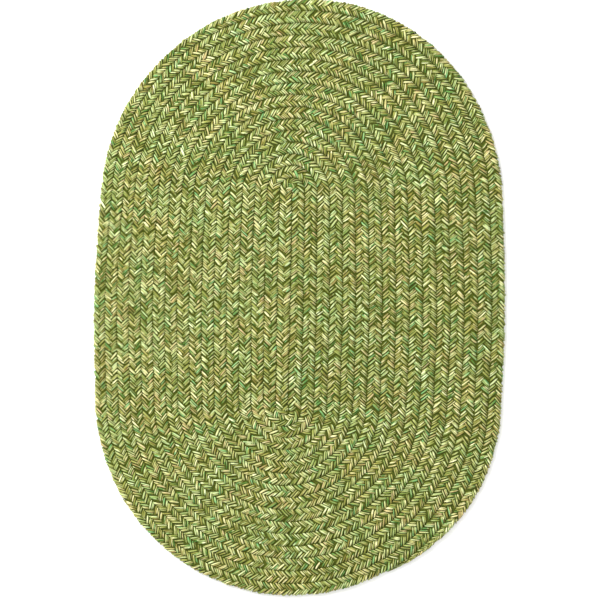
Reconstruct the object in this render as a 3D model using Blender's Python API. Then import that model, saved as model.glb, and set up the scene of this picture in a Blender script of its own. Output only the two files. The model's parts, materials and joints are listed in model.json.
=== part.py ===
"""An oval braided rug: one flat braid wound from a short seam outwards and sewn edge to edge.

The braid starts at the bottom end of a straight seam, runs up its left side, turns over the top end,
comes down its right side and winds on around what is already there. Each turn gains one braid's width
while it passes the bottom end. The last turn tapers away along the lower right edge.

Everything is worked out from the turn number and the place along one turn. The rug lies on the floor,
z = 0, with its long axis along Y and the middle of its box at the origin.
"""
import math

import bmesh
import bpy
import numpy as np

MM = 0.001

# --- driving sizes -------------------------------------------------------------------------------
SEAM_LENGTH = 324 * MM        # straight middle seam, from the bottom end to the top end
SEAM_LEAN = 6.6 * MM          # how far the seam's top end leans to the right
TURNS = 16                    # braids on either side of the seam
THICKNESS = 10 * MM           # from the floor to the crown of a braid
TOP_GROOVE = 3.0 * MM         # depth of the sewn groove between two braids, on the face
BOTTOM_GROOVE = 2.2 * MM      # and on the back
CROWN_WIDTH = 0.46            # flat crown of a braid, as a share of its width
LAND_WIDTH = 0.58             # flat land under a braid, as a share of its width
FULL_HEIGHT_FROM = 0.5        # an end that narrows below this share of a braid also gets lower

# --- steps of one turn ---------------------------------------------------------------------------
ARC_STEPS = 18                # half circle around one end of the seam
RUN_STEPS = 6                 # straight run along the seam
TURN_STEPS = 2 * (ARC_STEPS + RUN_STEPS)

# The braids aren't all as wide as each other: they are packed a little closer at the top and the left.
# `part` is the stretch of the turn, `share` how far along it, `pitch` the braid's width in mm there,
# averaged from the seam to the edge, and `spread` how much wider the outer braids are than that.
PACKING = (
    # part       share  pitch  spread
    ("bottom",   0.00,  19.80,  0.04),
    ("bottom",   0.17,  19.00,  0.08),
    ("bottom",   0.33,  18.40,  0.07),
    ("bottom",   0.50,  17.80,  0.04),
    ("bottom",   0.75,  17.45,  0.02),
    ("left",     0.00,  17.70, -0.01),
    ("left",     0.35,  18.25, -0.06),
    ("left",     0.65,  18.25, -0.06),
    ("top",      0.00,  17.60, -0.05),
    ("top",      0.25,  16.90, -0.03),
    ("top",      0.50,  17.40,  0.01),
    ("top",      0.67,  18.40,  0.08),
    ("top",      0.80,  18.70,  0.10),
    ("right",    0.00,  19.35,  0.08),
    ("right",    0.30,  19.90,  0.04),
    ("right",    0.80,  19.95,  0.03),
)
PARTS = {"bottom": (0, ARC_STEPS), "left": (ARC_STEPS, RUN_STEPS),
         "top": (ARC_STEPS + RUN_STEPS, ARC_STEPS), "right": (2 * ARC_STEPS + RUN_STEPS, RUN_STEPS)}
SMOOTHING = 2.0               # steps over which the packing changes softly

# The outer end narrows while it passes the bottom end: `share` of that half circle, `width` left there.
TAIL = (
    # share  width
    (0.00,   1.00),
    (0.11,   0.93),
    (0.167,  0.81),
    (0.222,  0.58),
    (0.278,  0.36),
    (0.333,  0.00),
)


def part_of_turn(step):
    """The stretch of the turn that holds a step, and how far along it the step is."""
    local = step % TURN_STEPS
    for name, (first, count) in PARTS.items():
        if local < first + count:
            return name, (local - first) / count
    return "right", 1.0


def seam_point(share):
    """A point of the seam: share 0 is its bottom end and 1 its top end."""
    return np.array(((share - 0.5) * SEAM_LEAN, (share - 0.5) * SEAM_LENGTH))


def base_and_direction(step):
    """Where on the seam the rounds are measured from at a step, and which way."""
    name, share = part_of_turn(step)
    angle = {"bottom": -math.pi * share, "left": math.pi,
             "top": math.pi * (1 - share), "right": 0.0}[name]
    along = {"bottom": 0.0, "left": share, "top": 1.0, "right": 1 - share}[name]
    return seam_point(along), np.array((math.cos(angle), math.sin(angle)))


def packing(step):
    """The braid's mean width and spread at a step, eased between the rows of PACKING."""
    rows = [(PARTS[name][0] + share * PARTS[name][1], pitch, spread)
            for name, share, pitch, spread in PACKING]
    places, pitches, spreads = zip(*rows)
    window = step + np.linspace(-SMOOTHING, SMOOTHING, 9)
    pitch = np.interp(window, places, pitches, period=TURN_STEPS).mean()
    spread = np.interp(window, places, spreads, period=TURN_STEPS).mean()
    return pitch * MM, spread


def groove_rounds(step):
    """How many braids lie between the seam and the groove outside the braid at a step."""
    turn = step // TURN_STEPS
    name, share = part_of_turn(step)
    rounds = turn + share if name == "bottom" else turn + 1
    if turn == TURNS:
        tail_share, tail_width = zip(*TAIL)
        rounds = rounds - 1 + float(np.interp(share, tail_share, tail_width))
    return rounds


def plan_point(step, rounds):
    """The place on the floor that is so many braids out from the seam at a step."""
    base, direction = base_and_direction(step)
    pitch, spread = packing(step)
    return base + direction * rounds * pitch * (1 + spread * (rounds / TURNS - 1))


class Shell:
    """Collects a mesh of points that are shared where they fall on each other."""

    def __init__(self):
        self.mesh = bmesh.new()
        self.known = {}

    def vert(self, plan, height):
        """The point at a place and height; places that differ by less than a micron are one point."""
        key = tuple(round(value * 1e6) for value in (plan[0], plan[1], height))
        if key not in self.known:
            self.known[key] = self.mesh.verts.new((plan[0], plan[1], height))
        return self.known[key]

    def strip(self, row_a, row_b):
        """Faces between two rows of points, side by side; a face that closes to a line is left out."""
        for a0, a1, b1, b0 in zip(row_a, row_a[1:], row_b[1:], row_b):
            corners = list(dict.fromkeys((a0, a1, b1, b0)))
            if len(corners) > 2:
                self.mesh.faces.new(corners)


def braid_rows(shell, steps, flat_width, groove_height, crown_height):
    """The four rows of points along one face of the braid: groove, crown edge, crown edge, groove."""
    rows = ([], [], [], [])
    for step in steps:
        outer = groove_rounds(step)
        inner = groove_rounds(step - TURN_STEPS) if step >= TURN_STEPS else 0.0
        width = outer - inner
        margin = width * (1 - flat_width) / 2
        fullness = min(1.0, width / FULL_HEIGHT_FROM)
        height = groove_height + (crown_height - groove_height) * fullness
        places = ((inner, groove_height), (inner + margin, height),
                  (outer - margin, height), (outer, groove_height))
        for row, (rounds, z) in zip(rows, places):
            row.append(shell.vert(plan_point(step, rounds), z))
    return rows


def rug_mesh():
    """The closed body: ribbed face, ribbed back, and the rim between their outer grooves."""
    tail_steps = math.ceil(TAIL[-1][0] * ARC_STEPS)
    last_step = TURNS * TURN_STEPS + tail_steps
    steps = range(last_step + 1)
    shell = Shell()
    face = braid_rows(shell, steps, CROWN_WIDTH, THICKNESS - TOP_GROOVE, THICKNESS)
    back = braid_rows(shell, steps, LAND_WIDTH, BOTTOM_GROOVE, 0.0)
    for rows in (face, back):
        for row_a, row_b in zip(rows, rows[1:]):
            shell.strip(row_a, row_b)
    rim = last_step - TURN_STEPS
    shell.strip(face[3][rim:], back[3][rim:])

    bm = shell.mesh
    middle = [(min(v.co[axis] for v in bm.verts) + max(v.co[axis] for v in bm.verts)) / 2
              for axis in (0, 1)]
    bmesh.ops.translate(bm, verts=bm.verts, vec=(-middle[0], -middle[1], 0.0))
    bmesh.ops.triangulate(bm, faces=bm.faces)
    bmesh.ops.recalc_face_normals(bm, faces=bm.faces)
    mesh = bpy.data.meshes.new("braided_rug")
    bm.to_mesh(mesh)
    bm.free()
    return mesh


def wool_tweed():
    """Olive green tweed yarn, seen as one colour from a distance."""
    material = bpy.data.materials.new("tweed_yarn")
    material.use_nodes = True
    shader = material.node_tree.nodes["Principled BSDF"]
    shader.inputs["Base Color"].default_value = (0.205, 0.215, 0.065, 1.0)
    shader.inputs["Roughness"].default_value = 0.92
    shader.inputs["Metallic"].default_value = 0.0
    return material


def main():
    for thing in list(bpy.data.objects):
        bpy.data.objects.remove(thing, do_unlink=True)
    collection = bpy.data.collections.new("braided_rug")
    bpy.context.scene.collection.children.link(collection)
    mesh = rug_mesh()
    mesh.materials.append(wool_tweed())
    rug = bpy.data.objects.new("braided_rug", mesh)
    collection.objects.link(rug)


main()
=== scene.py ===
# %% [markdown]
# # A braided oval rug, yarn by yarn
# The real rug is one flat braid, nearly 25 m long, wound round a short seam and sewn edge to edge.
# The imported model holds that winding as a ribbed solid. This lesson lays the braid itself on it: three
# strands of two or three tweed yarns each, eight yarns in all, which cross some 4,700 times.
# Everything is in metres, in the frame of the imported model, and the rug lies on the floor at z = 0.

# %% Open the frame
import json
import math

import bmesh
import bpy
import numpy as np
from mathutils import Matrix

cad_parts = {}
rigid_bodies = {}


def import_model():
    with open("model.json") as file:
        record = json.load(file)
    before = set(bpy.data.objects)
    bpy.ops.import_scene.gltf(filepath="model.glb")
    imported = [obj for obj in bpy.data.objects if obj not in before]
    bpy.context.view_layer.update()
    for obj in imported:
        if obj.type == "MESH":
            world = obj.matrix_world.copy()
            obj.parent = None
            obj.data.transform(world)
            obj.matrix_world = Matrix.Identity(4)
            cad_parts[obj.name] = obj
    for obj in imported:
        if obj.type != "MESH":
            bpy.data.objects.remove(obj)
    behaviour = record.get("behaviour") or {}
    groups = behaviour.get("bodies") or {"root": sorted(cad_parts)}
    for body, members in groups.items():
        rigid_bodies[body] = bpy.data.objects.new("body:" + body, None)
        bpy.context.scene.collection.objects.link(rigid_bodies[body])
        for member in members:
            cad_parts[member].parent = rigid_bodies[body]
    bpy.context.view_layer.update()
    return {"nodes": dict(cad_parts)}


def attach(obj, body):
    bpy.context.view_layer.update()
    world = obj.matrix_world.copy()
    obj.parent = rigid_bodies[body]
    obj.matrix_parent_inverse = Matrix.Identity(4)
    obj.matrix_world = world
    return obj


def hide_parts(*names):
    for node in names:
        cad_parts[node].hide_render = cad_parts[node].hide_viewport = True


for thing in list(bpy.data.objects):
    bpy.data.objects.remove(thing, do_unlink=True)
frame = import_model()
scene = bpy.context.scene
MM = 0.001

# %% [markdown]
# ## The winding
# A turn of the rug is a half circle round the seam's bottom end, a run up the left side, a half circle
# round the top end and a run down the right side. A place on the braid is a *step* (how far along the
# winding) and a number of *rounds* (how many braids out from the seam). The braid gains one round each
# time it passes the bottom end. These are the sizes of the solid, so the yarns fall on its ribs.

# %% Sizes of the winding
SEAM_LENGTH = 324 * MM        # straight middle seam, from the bottom end to the top end
SEAM_LEAN = 6.6 * MM          # how far the seam's top end leans to the right
TURNS = 16                    # braids on either side of the seam
ARC_STEPS = 18                # half circle round one end of the seam
RUN_STEPS = 6                 # straight run along one side of it
TURN_STEPS = 2 * (ARC_STEPS + RUN_STEPS)
PACKING = (
    # part       share  pitch  spread   (pitch in mm: the braid's width there; spread: outer ones wider)
    ("bottom",   0.00,  19.80,  0.04),
    ("bottom",   0.17,  19.00,  0.08),
    ("bottom",   0.33,  18.40,  0.07),
    ("bottom",   0.50,  17.80,  0.04),
    ("bottom",   0.75,  17.45,  0.02),
    ("left",     0.00,  17.70, -0.01),
    ("left",     0.35,  18.25, -0.06),
    ("left",     0.65,  18.25, -0.06),
    ("top",      0.00,  17.60, -0.05),
    ("top",      0.25,  16.90, -0.03),
    ("top",      0.50,  17.40,  0.01),
    ("top",      0.67,  18.40,  0.08),
    ("top",      0.80,  18.70,  0.10),
    ("right",    0.00,  19.35,  0.08),
    ("right",    0.30,  19.90,  0.04),
    ("right",    0.80,  19.95,  0.03),
)
PARTS = {"bottom": (0, ARC_STEPS), "left": (ARC_STEPS, RUN_STEPS),
         "top": (ARC_STEPS + RUN_STEPS, ARC_STEPS), "right": (2 * ARC_STEPS + RUN_STEPS, RUN_STEPS)}
CORNERS = (0, ARC_STEPS, ARC_STEPS + RUN_STEPS, 2 * ARC_STEPS + RUN_STEPS, TURN_STEPS)
SMOOTHING = 2.0               # steps to either side over which the packing changes softly
SMOOTHING_SAMPLES = 9
TAIL = (
    # share  width   (the outer end narrows while it passes the bottom end)
    (0.00,   1.00),
    (0.11,   0.93),
    (0.167,  0.81),
    (0.222,  0.58),
    (0.278,  0.36),
    (0.333,  0.00),
)
TAIL_STEPS = 8                # enough for that outer end, after the last full turn

# %% From step and rounds to a place on the floor
def outer_groove(step):
    """How many rounds lie between the seam and the outer side of the braid, at each step."""
    turn = np.floor(step / TURN_STEPS)
    share = np.minimum(step % TURN_STEPS / ARC_STEPS, 1.0)
    tail_share, tail_width = zip(*TAIL)
    missing = np.where(turn >= TURNS, 1.0 - np.interp(share, tail_share, tail_width), 0.0)
    return turn + share - missing


def inner_groove(step):
    """The same for the braid's inner side, which lies against the turn before."""
    return np.where(step >= TURN_STEPS, outer_groove(step - TURN_STEPS), 0.0)


def plan_point(step, rounds):
    """Where a step and a number of rounds fall on the floor, before the rug is centred."""
    local = step % TURN_STEPS
    angle = np.interp(local, CORNERS, (0, -math.pi, -math.pi, -2 * math.pi, -2 * math.pi))
    along = np.interp(local, CORNERS, (0.0, 0.0, 1.0, 1.0, 0.0))
    places = [PARTS[name][0] + share * PARTS[name][1] for name, share, _, _ in PACKING]
    window = [step + shift for shift in np.linspace(-SMOOTHING, SMOOTHING, SMOOTHING_SAMPLES)]
    pitch, spread = (
        np.mean([np.interp(at, places, values, period=TURN_STEPS) for at in window], axis=0)
        for values in ([row[2] * MM for row in PACKING], [row[3] for row in PACKING])
    )
    reach = rounds * pitch * (1 + spread * (rounds / TURNS - 1))
    return np.stack([(along - 0.5) * SEAM_LEAN + reach * np.cos(angle),
                     (along - 0.5) * SEAM_LENGTH + reach * np.sin(angle)], axis=-1)


rim_steps = np.arange((TURNS - 1) * TURN_STEPS, TURNS * TURN_STEPS + TAIL_STEPS)
rim = plan_point(rim_steps, outer_groove(rim_steps))
middle = (rim.min(0) + rim.max(0)) / 2
print("rim", np.round(rim.max(0) - rim.min(0), 4), "m, centred by", np.round(middle / MM, 2), "mm")

# %% [markdown]
# ## One yarn's way through a flat braid
# In a three-strand braid each strand swings from one side to the other. It comes over the edge, crosses
# the face to the middle, dives under the strand that comes from the other side, and crosses the back to
# the far edge. Half a period later it does the same from the other side. One table of eight rows says
# this for half a period, and the second half is its mirror image.
# A strand is two or three yarns side by side, a sixth or a ninth of a period apart. The leading yarn
# meets the other strand first, so it dives first, by half its lead: that makes the zigzag down the
# middle of the braid.

# %% Sizes of the braid
PERIOD = 31.0 * MM            # a strand is back on its side of the braid after this
STRANDS = 3
YARNS = (3, 2, 3)             # side by side in each strand
CLOSENESS = 0.92              # and a little closer to each other than to the next strand
YARN_HALF_WIDTH = 1.62 * MM   # of a thick yarn, two of which fill a strand
YARN_HALF_HEIGHT = 2.0 * MM
THINNING = 0.75               # at 1, three yarns side by side would be just as wide as two
BRAID_WIDTH = 18 * MM         # of one round, about
FULL_FROM = 0.55              # a braid narrower than this share of a round has thinner yarns
THINNEST = 0.30               # but no thinner than this share of a full one
TAIL_SINK = 0.1               # and a braid thinned to nothing would lie this share lower
PRESS = 0.8 * MM              # the edges of two turns are sewn this far into each other
THICKNESS = 10 * MM
SWING = (
    # name        phase   across  height  fatness  stroke   dives
    ("edge",      0.230,   1.00,   0.00,   0.88,   1.00,   0),
    ("shoulder",  0.258,   0.90,   0.62,   0.97,   1.16,   0),
    ("rise",      0.330,   0.61,   1.00,   1.12,   1.46,   0),
    ("crown",     0.415,   0.29,   0.98,   1.10,   1.74,   1),
    ("brink",     0.482,   0.05,   0.60,   0.90,   1.92,   1),
    ("under",     0.534,  -0.16,  -0.52,   0.86,   2.12,   1),
    ("back",      0.620,  -0.52,  -0.97,   1.04,   2.46,   0),
    ("return",    0.694,  -0.83,  -0.80,   0.96,   2.80,   0),
)
ZIGZAG = 3.8                  # how fast a stroke moves across, per period
FIRST_STEP = 7.0              # the braid starts tucked under its own first bend
LAST_STEP = TURNS * TURN_STEPS + 0.328 * ARC_STEPS

# %% Length of the braid
SAMPLES = 40001               # one for every 0.6 mm of braid
fine_steps = np.linspace(FIRST_STEP, LAST_STEP, SAMPLES)
centre_line = plan_point(fine_steps, (outer_groove(fine_steps) + inner_groove(fine_steps)) / 2)
pieces_of_line = np.linalg.norm(np.diff(centre_line, axis=0), axis=1)
wound = np.concatenate([[0.0], np.cumsum(pieces_of_line)])
braid_length = wound[-1]
print(f"braid: {braid_length:.2f} m, {braid_length / PERIOD:.0f} periods")

# %% [markdown]
# ## A braid made by hand is never even
# Seeded random numbers loosen the braid. Its crossings drift along it, all strands together, up to 3 cm
# from where an even braid would have them. Each strand and each yarn then lies a little off its own
# place. A yarn keeps its random numbers for a whole swing, so it stays smooth.

# %% How uneven the braid is
LOOSENESS = 0.69 * MM         # from one crossing to the next the braid is this much longer or shorter
WANDER_ALONG = 0.70 * MM      # and a yarn lies this much before or after its place
WANDER_ACROSS = 0.45 * MM     # and reaches this much more or less far over the edge
WANDER_UP = 0.36 * MM
WANDER_FAT = 0.12
MIDDLE_RISE = 0.45 * MM       # the middle yarn of a strand stands a little higher
CROSSINGS = 2 * STRANDS       # in one period: each strand crosses the braid and comes back
DRIFT_SEED = 90
STRAND_SEED = 100
YARN_SEED = 200


def drift_at(phases, halves):
    """How far the crossings have drifted at each phase, in metres. It ends at twice the braid's length."""
    margin = 2                # periods before the braid's outer end
    crossings = np.arange(CROSSINGS * (halves + 2 * margin)) / CROSSINGS - margin
    drift = np.random.default_rng(DRIFT_SEED).normal(0, LOOSENESS, len(crossings)).cumsum()
    drift -= np.linspace(0, drift[-1], len(drift))
    return np.interp(phases, crossings, drift)


def by_swing(chance, spread, halves):
    """A random number for each swing, repeated for all its rows."""
    return np.repeat(chance.normal(0, spread, halves), len(SWING))


# %% The path of one yarn
SPARE_HALVES = 2              # half periods past either end of the braid, cut off at the end


def yarn_path(strand, yarn):
    """Points, fatness and stroke number along one yarn, from the rug's outer end to its middle."""
    halves = int(2 * braid_length / PERIOD) + 2 * SPARE_HALVES
    strand_chance = np.random.default_rng(STRAND_SEED + strand)
    yarn_chance = np.random.default_rng(YARN_SEED + 10 * strand + yarn)
    _, phase, across, height, fatness, stroke, dives = (np.array(column) for column in zip(*SWING))
    half = np.repeat(np.arange(-SPARE_HALVES, halves - SPARE_HALVES), len(SWING))
    row = np.tile(np.arange(len(SWING)), halves)
    count = YARNS[strand]
    lead = (yarn - (count - 1) / 2) / (STRANDS * count) * CLOSENESS
    yarn_size = (2 / count) ** THINNING
    wander = by_swing(strand_chance, WANDER_ALONG, halves) + by_swing(yarn_chance, WANDER_ALONG, halves)
    rise = by_swing(yarn_chance, WANDER_UP, halves)
    if 0 < yarn < count - 1:
        rise += MIDDLE_RISE
    swell = by_swing(yarn_chance, WANDER_FAT, halves)
    stray = by_swing(yarn_chance, WANDER_ACROSS / BRAID_WIDTH, halves)

    slide = dives[row] * lead / 2
    phases = half / 2 + phase[row] + strand / STRANDS + lead - slide
    from_outer_end = phases * PERIOD + drift_at(phases, halves) + wander
    step = np.interp(braid_length - from_outer_end, wound, fine_steps)
    width = outer_groove(step) - inner_groove(step)
    fullness = np.clip(width / FULL_FROM, THINNEST, 1.0)
    offset = np.where(half % 2 == 0, 1.0, -1.0) * (across[row] + ZIGZAG * slide)
    at_rim = (offset > 0) & (step > LAST_STEP - TURN_STEPS)
    slack = (np.where(at_rim, 0.0, PRESS) - YARN_HALF_WIDTH * yarn_size * fullness) / BRAID_WIDTH
    reach = np.maximum(width / 2 + slack, 0.0)
    rounds = (outer_groove(step) + inner_groove(step)) / 2 + offset * reach + stray * fullness
    plan = plan_point(step, rounds) - middle

    fat = fullness * (fatness[row] + swell) * yarn_size
    lift = (THICKNESS / 2 - YARN_HALF_HEIGHT * yarn_size) * fullness
    mid_height = THICKNESS / 2 * (1 - TAIL_SINK + TAIL_SINK * fullness)
    z = mid_height + height[row] * lift + rise * np.abs(height[row])
    z = np.maximum(z, YARN_HALF_HEIGHT * fat)
    inside = (from_outer_end > 0) & (from_outer_end < braid_length)
    points = np.column_stack([plan, z])[inside]
    fat = fat[inside]
    fat[[0, -1]] = 0.0        # both ends run out to a point
    return points, fat, (2 * half + stroke[row])[inside]


points, fat, stroke = yarn_path(0, 0)
yarn_length = np.linalg.norm(np.diff(points, axis=0), axis=1).sum()
print(f"one yarn: {len(points)} points, {yarn_length:.1f} m")

# %% [markdown]
# ## Sweeping the yarn
# A curve with a bevel object sweeps a small section along the path. Twist mode Z_UP keeps the section
# upright, so the yarn is a little taller than it is wide everywhere. Four corners, one of them on top,
# are enough for a thread this thin, and they keep each yarn near 100,000 triangles. The swept mesh has
# its points ring by ring, so two UV maps can be worked out from the ring numbers: `yarn_run` counts
# strokes along the yarn and turns round it, and `OFBake` folds the whole yarn into rows on a square.

# %% Sweep a path into a mesh
SECTION_CORNERS = 4
BAKE_ROWS = 58                # rows that the yarn is folded into on the square
BAKE_PADDING = 0.04           # of a row, kept free at either side


def yarn_section():
    """The outline that the sweep carries along a yarn: a small upright oval."""
    outline = bpy.data.curves.new("yarn_section", "CURVE")
    outline.dimensions = "2D"
    spline = outline.splines.new("POLY")
    spline.points.add(SECTION_CORNERS - 1)
    for number, point in enumerate(spline.points):
        turn = 2 * math.pi * number / SECTION_CORNERS
        point.co = (YARN_HALF_WIDTH * math.sin(turn), YARN_HALF_HEIGHT * math.cos(turn), 0, 1)
    spline.use_cyclic_u = True
    return bpy.data.objects.new("yarn_section", outline)


def swept(name, points, fatness, section):
    """The mesh of a section that is swept along the points."""
    curve = bpy.data.curves.new(name, "CURVE")
    curve.dimensions = "3D"
    curve.twist_mode = "Z_UP"
    curve.bevel_mode = "OBJECT"
    curve.bevel_object = section
    spline = curve.splines.new("POLY")
    spline.points.add(len(points) - 1)
    spline.points.foreach_set("co", np.column_stack([points, np.ones(len(points))]).ravel())
    spline.points.foreach_set("radius", fatness)
    guide = bpy.data.objects.new(name, curve)
    scene.collection.objects.link(guide)
    seen = guide.evaluated_get(bpy.context.evaluated_depsgraph_get())
    mesh = bpy.data.meshes.new_from_object(seen)
    bpy.data.objects.remove(guide)
    return mesh


# %% Lay the two UV maps on the rings
def add_maps(mesh, stroke):
    """Adds `yarn_run` and `OFBake`, from the ring and the side that each corner of each quad is on."""
    vertex = np.empty(len(mesh.loops), np.int32)
    mesh.loops.foreach_get("vertex_index", vertex)
    ring, side = (part.reshape(len(mesh.polygons), -1) for part in divmod(vertex, SECTION_CORNERS))
    wraps = (side.max(1) - side.min(1) > 1)[:, None] & (side == 0)
    round_it = np.where(wraps, SECTION_CORNERS, side) / SECTION_CORNERS
    first_ring = ring.min(1)[:, None]
    per_row = math.ceil(len(stroke) / BAKE_ROWS)
    row, column = divmod(first_ring, per_row)
    bake_u = (column + ring - first_ring) / per_row
    bake_v = (row + BAKE_PADDING + (1 - 2 * BAKE_PADDING) * round_it) / BAKE_ROWS
    while mesh.uv_layers:
        mesh.uv_layers.remove(mesh.uv_layers[0])
    for name, u, v in (("yarn_run", stroke[ring], round_it), ("OFBake", bake_u, bake_v)):
        layer = mesh.uv_layers.new(name=name, do_init=False)
        layer.uv.foreach_set("vector", np.stack([u, v], -1).astype(np.float32).ravel())


# %% [markdown]
# ## Tweed
# Tweed yarn is spun from fibres dyed before spinning, so its colour changes every centimetre or two,
# and two plies of unlike colour are twisted round each other. Three node groups hold what all the yarns
# share. `tweed_dye` picks a dye and a tint of it for each short length, `wool_batch` makes whole patches
# a little browner or greener, and `spun_yarn` says which ply is on top, how high it stands and how much
# painted light it gets: a yarn's colour is painted bright along its top, with painted shade down its sides
# and the darkest painted shade where it dives.

# %% Helpers for node trees
def linear(red, green, blue):
    """A colour given as 0 to 255 on screen, as Blender's linear numbers."""
    def one(value):
        value /= 255
        return value / 12.92 if value <= 0.04045 else ((value + 0.055) / 1.055) ** 2.4
    return (one(red), one(green), one(blue), 1.0)


def add(tree, kind, label="", **settings):
    """A new node with its properties set."""
    node = tree.nodes.new(kind)
    node.label = label
    for name, value in settings.items():
        setattr(node, name, value)
    return node


def feed(tree, socket, value):
    """Links an input to the socket that the value comes from, or sets it where the value is constant."""
    if isinstance(value, bpy.types.NodeSocket):
        tree.links.new(value, socket)
    else:
        socket.default_value = value


def calculate(tree, operation, *values, label=""):
    """A Math node on numbers and sockets."""
    node = add(tree, "ShaderNodeMath", label, operation=operation)
    for socket, value in zip(node.inputs, values):
        feed(tree, socket, value)
    return node.outputs[0]


# %% Nodes that are used again and again
def ranged(tree, label, value, smooth=False, **limits):
    """A Map Range node on a socket. The limits are its inputs: from_min is From Min, and so on."""
    node = add(tree, "ShaderNodeMapRange", label, interpolation_type="SMOOTHSTEP" if smooth else "LINEAR")
    for name, limit in limits.items():
        node.inputs[name.replace("_", " ").title()].default_value = limit
    tree.links.new(value, node.inputs["Value"])
    return node.outputs[0]


def mixed(tree, label, factor, first, second):
    """The first colour where the factor is 0 and the second where it is 1."""
    node = add(tree, "ShaderNodeMix", label, data_type="RGBA")
    for name, value in (("Factor", factor), ("A", first), ("B", second)):
        feed(tree, node.inputs[name], value)
    return node.outputs["Result"]


def times(tree, label, colour, other):
    """Two colours multiplied, channel by channel."""
    node = add(tree, "ShaderNodeVectorMath", label, operation="MULTIPLY")
    feed(tree, node.inputs[0], colour)
    feed(tree, node.inputs[1], other)
    return node.outputs[0]


def noise(tree, label, place, scale, detail):
    """A noise between 0 and 1 at a place."""
    node = add(tree, "ShaderNodeTexNoise", label)
    node.inputs["Scale"].default_value = scale
    node.inputs["Detail"].default_value = detail
    tree.links.new(place, node.inputs["Vector"])
    return node.outputs["Fac"]


def new_group(name, inputs, outputs):
    """A node group with named sockets, and its input and output nodes."""
    tree = bpy.data.node_groups.new(name, "ShaderNodeTree")
    for socket_name, kind in inputs:
        tree.interface.new_socket(socket_name, in_out="INPUT", socket_type=kind)
    for socket_name, kind in outputs:
        tree.interface.new_socket(socket_name, in_out="OUTPUT", socket_type=kind)
    return tree, tree.nodes.new("NodeGroupInput"), tree.nodes.new("NodeGroupOutput")


# %% The dyes
DYES = (
    # name          share   colour on screen   (from dark to pale)
    ("dark olive",   0.13,  (117, 124, 57)),
    ("olive",        0.24,  (136, 143, 72)),
    ("moss",         0.21,  (151, 158, 94)),
    ("dry grass",    0.17,  (170, 176, 116)),
    ("straw",        0.20,  (192, 197, 142)),
    ("pale straw",   0.05,  (215, 220, 168)),
)
TINTS = (
    # name      share   times red, green, blue
    ("emerald",  0.09,  (0.32, 0.63, 0.46)),
    ("leaf",     0.22,  (0.84, 0.94, 0.86)),
    ("plain",    0.39,  (1.13, 1.10, 1.14)),
    ("hay",      0.20,  (0.95, 0.89, 0.80)),
    ("rosewood", 0.10,  (0.84, 0.67, 0.62)),
)
PAINTED_HOLLOW_SHADE = (0.11, 0.13, 0.02)     # painted shade: what is left of a colour deep between two yarns
BRIGHTNESS = 0.93             # of the dyes, once spun
FRAY = 0.9                    # strokes by which fibres carry a dye on into the next
HEATHER = 0.2                 # how much paler its palest fibres are than its darkest
BATCHES = 30.0                # changes of wool per metre of rug
BROWNISH = (1.08, 0.98, 0.95)
GREENISH = (0.91, 1.01, 0.99)


def band_ramp(tree, label, bands):
    """A ramp of flat bands, each as wide as its share."""
    ramp = add(tree, "ShaderNodeValToRGB", label)
    ramp.color_ramp.interpolation = "CONSTANT"
    place = 0.0
    total = sum(share for share, _ in bands)
    for number, (share, colour) in enumerate(bands):
        if number < 2:        # a new ramp has two bands already
            band = ramp.color_ramp.elements[number]
        else:
            band = ramp.color_ramp.elements.new(place)
        band.position = place
        band.color = colour
        place += share / total
    return ramp


def tweed_dye_group():
    """Colour of one ply: a new dye and tint every Length strokes or so, with a frayed change between."""
    tree, inside, out = new_group(
        "tweed_dye",
        [("Along", "NodeSocketFloat"), ("Fibres", "NodeSocketFloat"), ("Length", "NodeSocketFloat"),
         ("Ply", "NodeSocketFloat"), ("Darkness", "NodeSocketFloat"), ("Contrast", "NodeSocketFloat")],
        [("Color", "NodeSocketColor")])
    frayed = calculate(tree, "MULTIPLY_ADD", inside.outputs["Fibres"], FRAY, inside.outputs["Along"])
    scaled = calculate(tree, "DIVIDE", frayed, inside.outputs["Length"])
    place = calculate(tree, "ADD", scaled, inside.outputs["Ply"], label="another stretch for each ply")
    lots = add(tree, "ShaderNodeTexVoronoi", "lengths of one dye", voronoi_dimensions="1D")
    lots.inputs["Scale"].default_value = 1.0
    tree.links.new(place, lots.inputs["W"])
    chance = add(tree, "ShaderNodeSeparateColor")
    tree.links.new(lots.outputs["Color"], chance.inputs[0])
    pick = calculate(tree, "POWER", chance.outputs["Red"], inside.outputs["Darkness"])
    dye = band_ramp(tree, "dyes", [(share, linear(*colour)) for _, share, colour in DYES])
    tree.links.new(pick, dye.inputs[0])
    tint = band_ramp(tree, "tints", [(share, (*factors, 1.0)) for _, share, factors in TINTS])
    tree.links.new(chance.outputs["Blue"], tint.inputs[0])
    tinted = times(tree, "dye in its tint", dye.outputs["Color"], tint.outputs["Color"])
    centred = calculate(tree, "SUBTRACT", chance.outputs["Green"], 0.5)
    swing = calculate(tree, "MULTIPLY_ADD", centred, inside.outputs["Contrast"], BRIGHTNESS)
    heathered = calculate(tree, "MULTIPLY_ADD", inside.outputs["Fibres"], HEATHER, swing)
    shade = add(tree, "ShaderNodeVectorMath", "paler or darker", operation="SCALE")
    tree.links.new(tinted, shade.inputs[0])
    tree.links.new(heathered, shade.inputs["Scale"])
    tree.links.new(shade.outputs[0], out.inputs["Color"])
    return tree


def wool_batch_group():
    """The same colour, a little browner in one patch of the rug and greener in the next."""
    tree, inside, out = new_group(
        "wool_batch",
        [("Place", "NodeSocketVector"), ("Color", "NodeSocketColor")],
        [("Color", "NodeSocketColor")])
    patches = noise(tree, "patches", inside.outputs["Place"], BATCHES, 2.0)
    green = ranged(tree, "brownish 0, greenish 1", patches, from_min=0.35, from_max=0.65)
    tint = mixed(tree, "tint of the patch", green, (*BROWNISH, 1.0), (*GREENISH, 1.0))
    tree.links.new(times(tree, "wool in that tint", inside.outputs["Color"], tint), out.inputs["Color"])
    return tree


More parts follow.
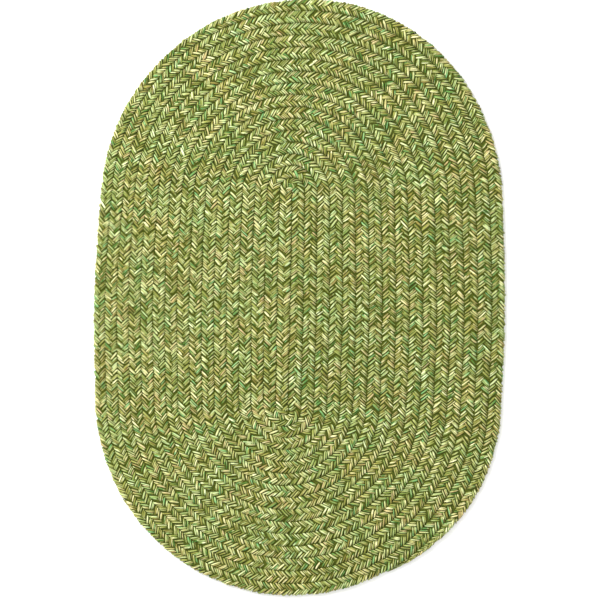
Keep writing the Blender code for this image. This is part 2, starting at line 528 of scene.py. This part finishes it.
# %% The twist and the fibres
PLY_TURNS = 1.15              # per stroke
FIBRES_AROUND = 2.0           # the fibres' noise is read on a tube of this radius
FIBRES_ALONG = 3.5            # and this much further along for each stroke


def spun_yarn_group():
    """Shape of a spun yarn: which ply is on top, how high it stands, fibres that follow the twist, and a
    painted light mask: bright on top, painted shade down its sides and where it dives.
    """
    tree, inside, out = new_group(
        "spun_yarn",
        [("Run", "NodeSocketVector")],
        [("Along", "NodeSocketFloat"), ("Mask", "NodeSocketFloat"), ("Height", "NodeSocketFloat"),
         ("Fibres", "NodeSocketFloat"), ("Painted Light", "NodeSocketFloat")])
    split = add(tree, "ShaderNodeSeparateXYZ")
    tree.links.new(inside.outputs["Run"], split.inputs[0])
    along, round_it = split.outputs["X"], split.outputs["Y"]
    turns = calculate(tree, "MULTIPLY_ADD", along, PLY_TURNS, round_it)
    twist = calculate(tree, "MULTIPLY", turns, 2 * math.pi, label="angle, turning with the plies")
    sine = calculate(tree, "SINE", twist)
    mask = ranged(tree, "soft edge between plies", sine, smooth=True, from_min=-0.35, from_max=0.35)
    lobes = calculate(tree, "ABSOLUTE", sine, label="two plies, so two ridges a turn")

    ring = add(tree, "ShaderNodeCombineXYZ", "place on a turning tube")
    tree.links.new(calculate(tree, "MULTIPLY", sine, FIBRES_AROUND), ring.inputs["X"])
    cosine = calculate(tree, "COSINE", twist)
    tree.links.new(calculate(tree, "MULTIPLY", cosine, FIBRES_AROUND), ring.inputs["Y"])
    tree.links.new(calculate(tree, "MULTIPLY", along, FIBRES_ALONG), ring.inputs["Z"])
    fibres = noise(tree, "fibres", ring.outputs[0], 1.0, 2.0)

    # Painted light and shade: a mask that is bright along the yarn's top, lower down its sides and lowest
    # where it dives.
    around = calculate(tree, "MULTIPLY", round_it, 2 * math.pi)
    top = calculate(tree, "ABSOLUTE", calculate(tree, "COSINE", around), label="1 on top, 0 at sides")
    swing = calculate(tree, "SINE", calculate(tree, "MULTIPLY", along, math.pi / 2))
    outward = calculate(tree, "ABSOLUTE", swing, label="1 at the braid's edge, 0 at its middle")
    bend = ranged(tree, "evenly lit where it turns over the edge", outward, from_min=0.96, to_max=0.78)
    dive = ranged(tree, "shaded where it dives", outward, smooth=True,
                  from_min=0.02, from_max=0.36, to_min=0.22)
    painted_light = calculate(tree, "MULTIPLY", calculate(tree, "MAXIMUM", top, bend), dive)
    height = calculate(tree, "POWER", lobes, 0.5, label="rounder ridges")

    for name, value in (("Along", along), ("Mask", mask), ("Height", height),
                        ("Fibres", fibres), ("Painted Light", painted_light)):
        tree.links.new(value, out.inputs[name])
    return tree


TWEED_DYE = tweed_dye_group()
WOOL_BATCH = wool_batch_group()
SPUN_YARN = spun_yarn_group()
print("node groups:", [group.name for group in bpy.data.node_groups])

# %% The yarn's material
SECOND_PLY = 0.45             # how much of it shows where it is on top
OTHER_WOOL = 40000.5          # its dyes are those that lie this far on
WOOL_RELIEF = 0.4 * MM        # how high the plies stand
FIBRE_RELIEF = 0.6            # and the fibres, as a share of that


def bumpy(tree, label, relief, strength):
    """The normal of wool whose surface has this relief."""
    bump = add(tree, "ShaderNodeBump", label)
    bump.inputs["Strength"].default_value = strength
    bump.inputs["Distance"].default_value = WOOL_RELIEF
    tree.links.new(relief, bump.inputs["Height"])
    return bump.outputs[0]


def dyed_ply(tree, spun, **values):
    """A dye group node that is fed by the spun yarn, with its other inputs set."""
    node = add(tree, "ShaderNodeGroup", "dye of a ply", node_tree=TWEED_DYE)
    tree.links.new(spun.outputs["Along"], node.inputs["Along"])
    tree.links.new(spun.outputs["Fibres"], node.inputs["Fibres"])
    for name, value in values.items():
        node.inputs[name].default_value = value
    return node.outputs["Color"]


def tweed_material(name, darkness):
    """Two twisted plies of tweed, darkened with painted shade in the hollows between yarns."""
    material = bpy.data.materials.new(name)
    material.use_nodes = True
    tree = material.node_tree
    shader = tree.nodes["Principled BSDF"]
    run = add(tree, "ShaderNodeUVMap", "along and round the yarn", uv_map="yarn_run")
    spun = add(tree, "ShaderNodeGroup", "spun yarn", node_tree=SPUN_YARN)
    tree.links.new(run.outputs[0], spun.inputs["Run"])

    share = calculate(tree, "MULTIPLY", spun.outputs["Mask"], SECOND_PLY)
    first = dyed_ply(tree, spun, Length=1.15, Ply=0.0, Darkness=darkness, Contrast=0.20)
    second = dyed_ply(tree, spun, Length=1.5, Ply=OTHER_WOOL, Darkness=1.0, Contrast=0.20)
    batch = add(tree, "ShaderNodeGroup", "batch of wool", node_tree=WOOL_BATCH)
    tree.links.new(add(tree, "ShaderNodeTexCoord").outputs["Object"], batch.inputs["Place"])
    tree.links.new(mixed(tree, "one ply, then the other", share, first, second), batch.inputs["Color"])
    wool = batch.outputs["Color"]

    # Painted shade: the wool is darkened where the painted light mask is low, between the yarns and where
    # they dive.
    hollow = ranged(tree, "painted shade between yarns", spun.outputs["Painted Light"], smooth=True,
                    from_min=0.30, from_max=0.74)
    deep = times(tree, "painted shade: what is left of it in a hollow", wool, PAINTED_HOLLOW_SHADE)
    colour = mixed(tree, "painted shade in the hollows", hollow, deep, wool)
    tree.links.new(colour, shader.inputs["Base Color"])

    relief = calculate(tree, "MULTIPLY_ADD", spun.outputs["Fibres"], FIBRE_RELIEF, spun.outputs["Height"])
    tree.links.new(bumpy(tree, "plies and fibres", relief, strength=0.7), shader.inputs["Normal"])
    rough = ranged(tree, "fibres scatter more or less", spun.outputs["Fibres"], to_min=0.80, to_max=0.98)
    tree.links.new(rough, shader.inputs["Roughness"])
    shader.inputs["Specular IOR Level"].default_value = 0.08
    shader.inputs["Sheen Weight"].default_value = 0.04
    shader.inputs["Sheen Roughness"].default_value = 0.6
    return material


YARN_KINDS = (
    # name            darkness   (above 1: more of the dark dyes, below 1: more of the pale ones)
    ("tweed_olive",   1.28),
    ("tweed_mixed",   1.00),
    ("tweed_straw",   0.80),
)
tweeds = [tweed_material(name, darkness) for name, darkness in YARN_KINDS]

# %% Lay the eight yarns
OWN_WOOL = 2000               # strokes from the first dye of one yarn to the first of the next
MERGE = 0.001 * MM            # points nearer to each other than this are one


def yarn_piece(strand, yarn, section):
    """One yarn as a finished piece."""
    name = f"strand_{strand + 1}_yarn_{'abc'[yarn]}"
    points, fatness, stroke = yarn_path(strand, yarn)
    mesh = swept(name, points, fatness, section)
    add_maps(mesh, stroke + OWN_WOOL * (max(YARNS) * strand + yarn))
    shape = bmesh.new()
    shape.from_mesh(mesh)
    shape.verts.ensure_lookup_table()
    ends = shape.verts[:SECTION_CORNERS] + shape.verts[-SECTION_CORNERS:]
    bmesh.ops.remove_doubles(shape, verts=ends, dist=MERGE)
    bmesh.ops.recalc_face_normals(shape, faces=shape.faces)
    shape.to_mesh(mesh)
    shape.free()
    mesh.shade_smooth()
    mesh.materials.append(tweeds[(yarn + strand) % len(tweeds)])
    piece = bpy.data.objects.new(name, mesh)
    scene.collection.objects.link(piece)
    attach(piece, "root")
    return piece


section = yarn_section()
scene.collection.objects.link(section)
yarns = [yarn_piece(strand, yarn, section) for strand in range(STRANDS) for yarn in range(YARNS[strand])]
bpy.data.objects.remove(section)
triangles = sum(len(face.vertices) - 2 for piece in yarns for face in piece.data.polygons)
print(f"{len(yarns)} yarns, {triangles} triangles")

# %% [markdown]
# ## What fills the strands
# A real strand is thicker than its outer yarns: more of the same yarn runs inside. That inside is a
# copy of the imported solid, drawn in all round by a couple of millimetres, so that it shows only deep
# between the yarns, and its wool is coloured dark olive as painted shade. It stands for the solid.

# %% The filling
FILLING_SHARE = 0.62          # of the rug's thickness
RIM_INSET = 2.4 * MM
WALL = 0.3                    # a face whose normal rises less than this is part of the rim
LOOSE_FIBRES = 900.0          # per metre
# painted shade: the filling's wool is as dark as the tweed looks in the yarns' shade
PAINTED_SHADE_WOOL = ((38, 48, 4), (82, 90, 26))


def filling_material():
    """The same tweed, darkened with painted shade from the yarns above it."""
    material = bpy.data.materials.new("strand_filling_painted_shade")
    material.use_nodes = True
    tree = material.node_tree
    shader = tree.nodes["Principled BSDF"]
    place = add(tree, "ShaderNodeTexCoord").outputs["Object"]
    fibres = noise(tree, "loose fibres", place, LOOSE_FIBRES, 3.0)
    ramp = add(tree, "ShaderNodeValToRGB", "wool in painted shade")
    for band, position, colour in zip(ramp.color_ramp.elements, (0.35, 0.65), PAINTED_SHADE_WOOL):
        band.position = position
        band.color = linear(*colour)
    tree.links.new(fibres, ramp.inputs[0])
    tree.links.new(ramp.outputs["Color"], shader.inputs["Base Color"])
    tree.links.new(bumpy(tree, "loose fibres", fibres, strength=0.6), shader.inputs["Normal"])
    shader.inputs["Roughness"].default_value = 0.95
    shader.inputs["Specular IOR Level"].default_value = 0.15
    return material


def filling_piece():
    """The solid, merged, thinned and drawn in at the rim."""
    shape = bmesh.new()
    shape.from_mesh(frame["nodes"]["braided_rug"].data)
    bmesh.ops.remove_doubles(shape, verts=shape.verts, dist=MERGE)
    bmesh.ops.recalc_face_normals(shape, faces=shape.faces)
    for vert in shape.verts:
        walls = [face.normal for face in vert.link_faces if abs(face.normal.z) < WALL]
        if walls:
            outward = sum(walls[1:], walls[0].copy())
            outward.z = 0
            vert.co -= outward.normalized() * RIM_INSET
        vert.co.z = THICKNESS / 2 + (vert.co.z - THICKNESS / 2) * FILLING_SHARE
    mesh = bpy.data.meshes.new("strand_filling_painted_shade")
    shape.to_mesh(mesh)
    shape.free()
    mesh.shade_smooth()
    mesh.materials.append(filling_material())
    piece = bpy.data.objects.new("strand_filling_painted_shade", mesh)
    scene.collection.objects.link(piece)
    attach(piece, "root")
    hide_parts("braided_rug")
    return piece


filling = filling_piece()
print("filling:", len(filling.data.polygons), "triangles")

# %% [markdown]
# ## Floor, light and camera
# The photograph looks straight down with soft, even light. A long lens far above keeps the picture
# flat, and one large lamp from the upper left gives each yarn a light side.

# %% The floor
FLOOR_REACH = 6.0             # metres from its middle to its sides


def floor_piece():
    """A large pale floor, which the rug lies on."""
    shape = bmesh.new()
    bmesh.ops.create_grid(shape, x_segments=1, y_segments=1, size=FLOOR_REACH)
    mesh = bpy.data.meshes.new("floor")
    shape.to_mesh(mesh)
    shape.free()
    material = bpy.data.materials.new("pale_floor")
    material.use_nodes = True
    shader = material.node_tree.nodes["Principled BSDF"]
    shader.inputs["Base Color"].default_value = (0.90, 0.90, 0.89, 1)
    shader.inputs["Roughness"].default_value = 0.9
    mesh.materials.append(material)
    piece = bpy.data.objects.new("floor", mesh)
    scene.collection.objects.link(piece)
    return piece


floor_piece()

# %% The light
KEY_PLACE = (-2.2, 1.8, 2.3)  # at the upper left of the picture
KEY_SIZE = 2.0                # metres from side to side
KEY_POWER = 180               # watts
SKY = 1.25                    # white light from all round


def lamp(name, place, size, power):
    """A square soft light that looks at the middle of the rug."""
    light = bpy.data.lights.new(name, "AREA")
    light.size = size
    light.energy = power
    holder = bpy.data.objects.new(name, light)
    holder.location = place
    direction = -holder.location
    holder.rotation_euler = direction.to_track_quat("-Z", "Y").to_euler()
    scene.collection.objects.link(holder)
    return holder


lamp("key", KEY_PLACE, KEY_SIZE, KEY_POWER)
world = bpy.data.worlds.new("studio")
world.use_nodes = True
world.node_tree.nodes["Background"].inputs["Color"].default_value = (1, 1, 1, 1)
world.node_tree.nodes["Background"].inputs["Strength"].default_value = SKY
scene.world = world
scene.view_settings.view_transform = "Standard"

# %% The camera
FRAME_HEIGHT = 0.8856         # metres from the top of the picture to its bottom, halfway up the rug
FRAME_MIDDLE = (0.0007, -0.0037)
LENS = 200.0                  # millimetres: a long lens far away flattens the picture
SENSOR = 36.0                 # millimetres from side to side
camera_data = bpy.data.cameras.new("camera")
camera_data.lens = LENS
camera_data.sensor_width = SENSOR
camera = bpy.data.objects.new("camera", camera_data)
camera.location = (*FRAME_MIDDLE, FRAME_HEIGHT * LENS / SENSOR + THICKNESS / 2)
scene.collection.objects.link(camera)
scene.camera = camera
print("camera", [round(value, 3) for value in camera.location])
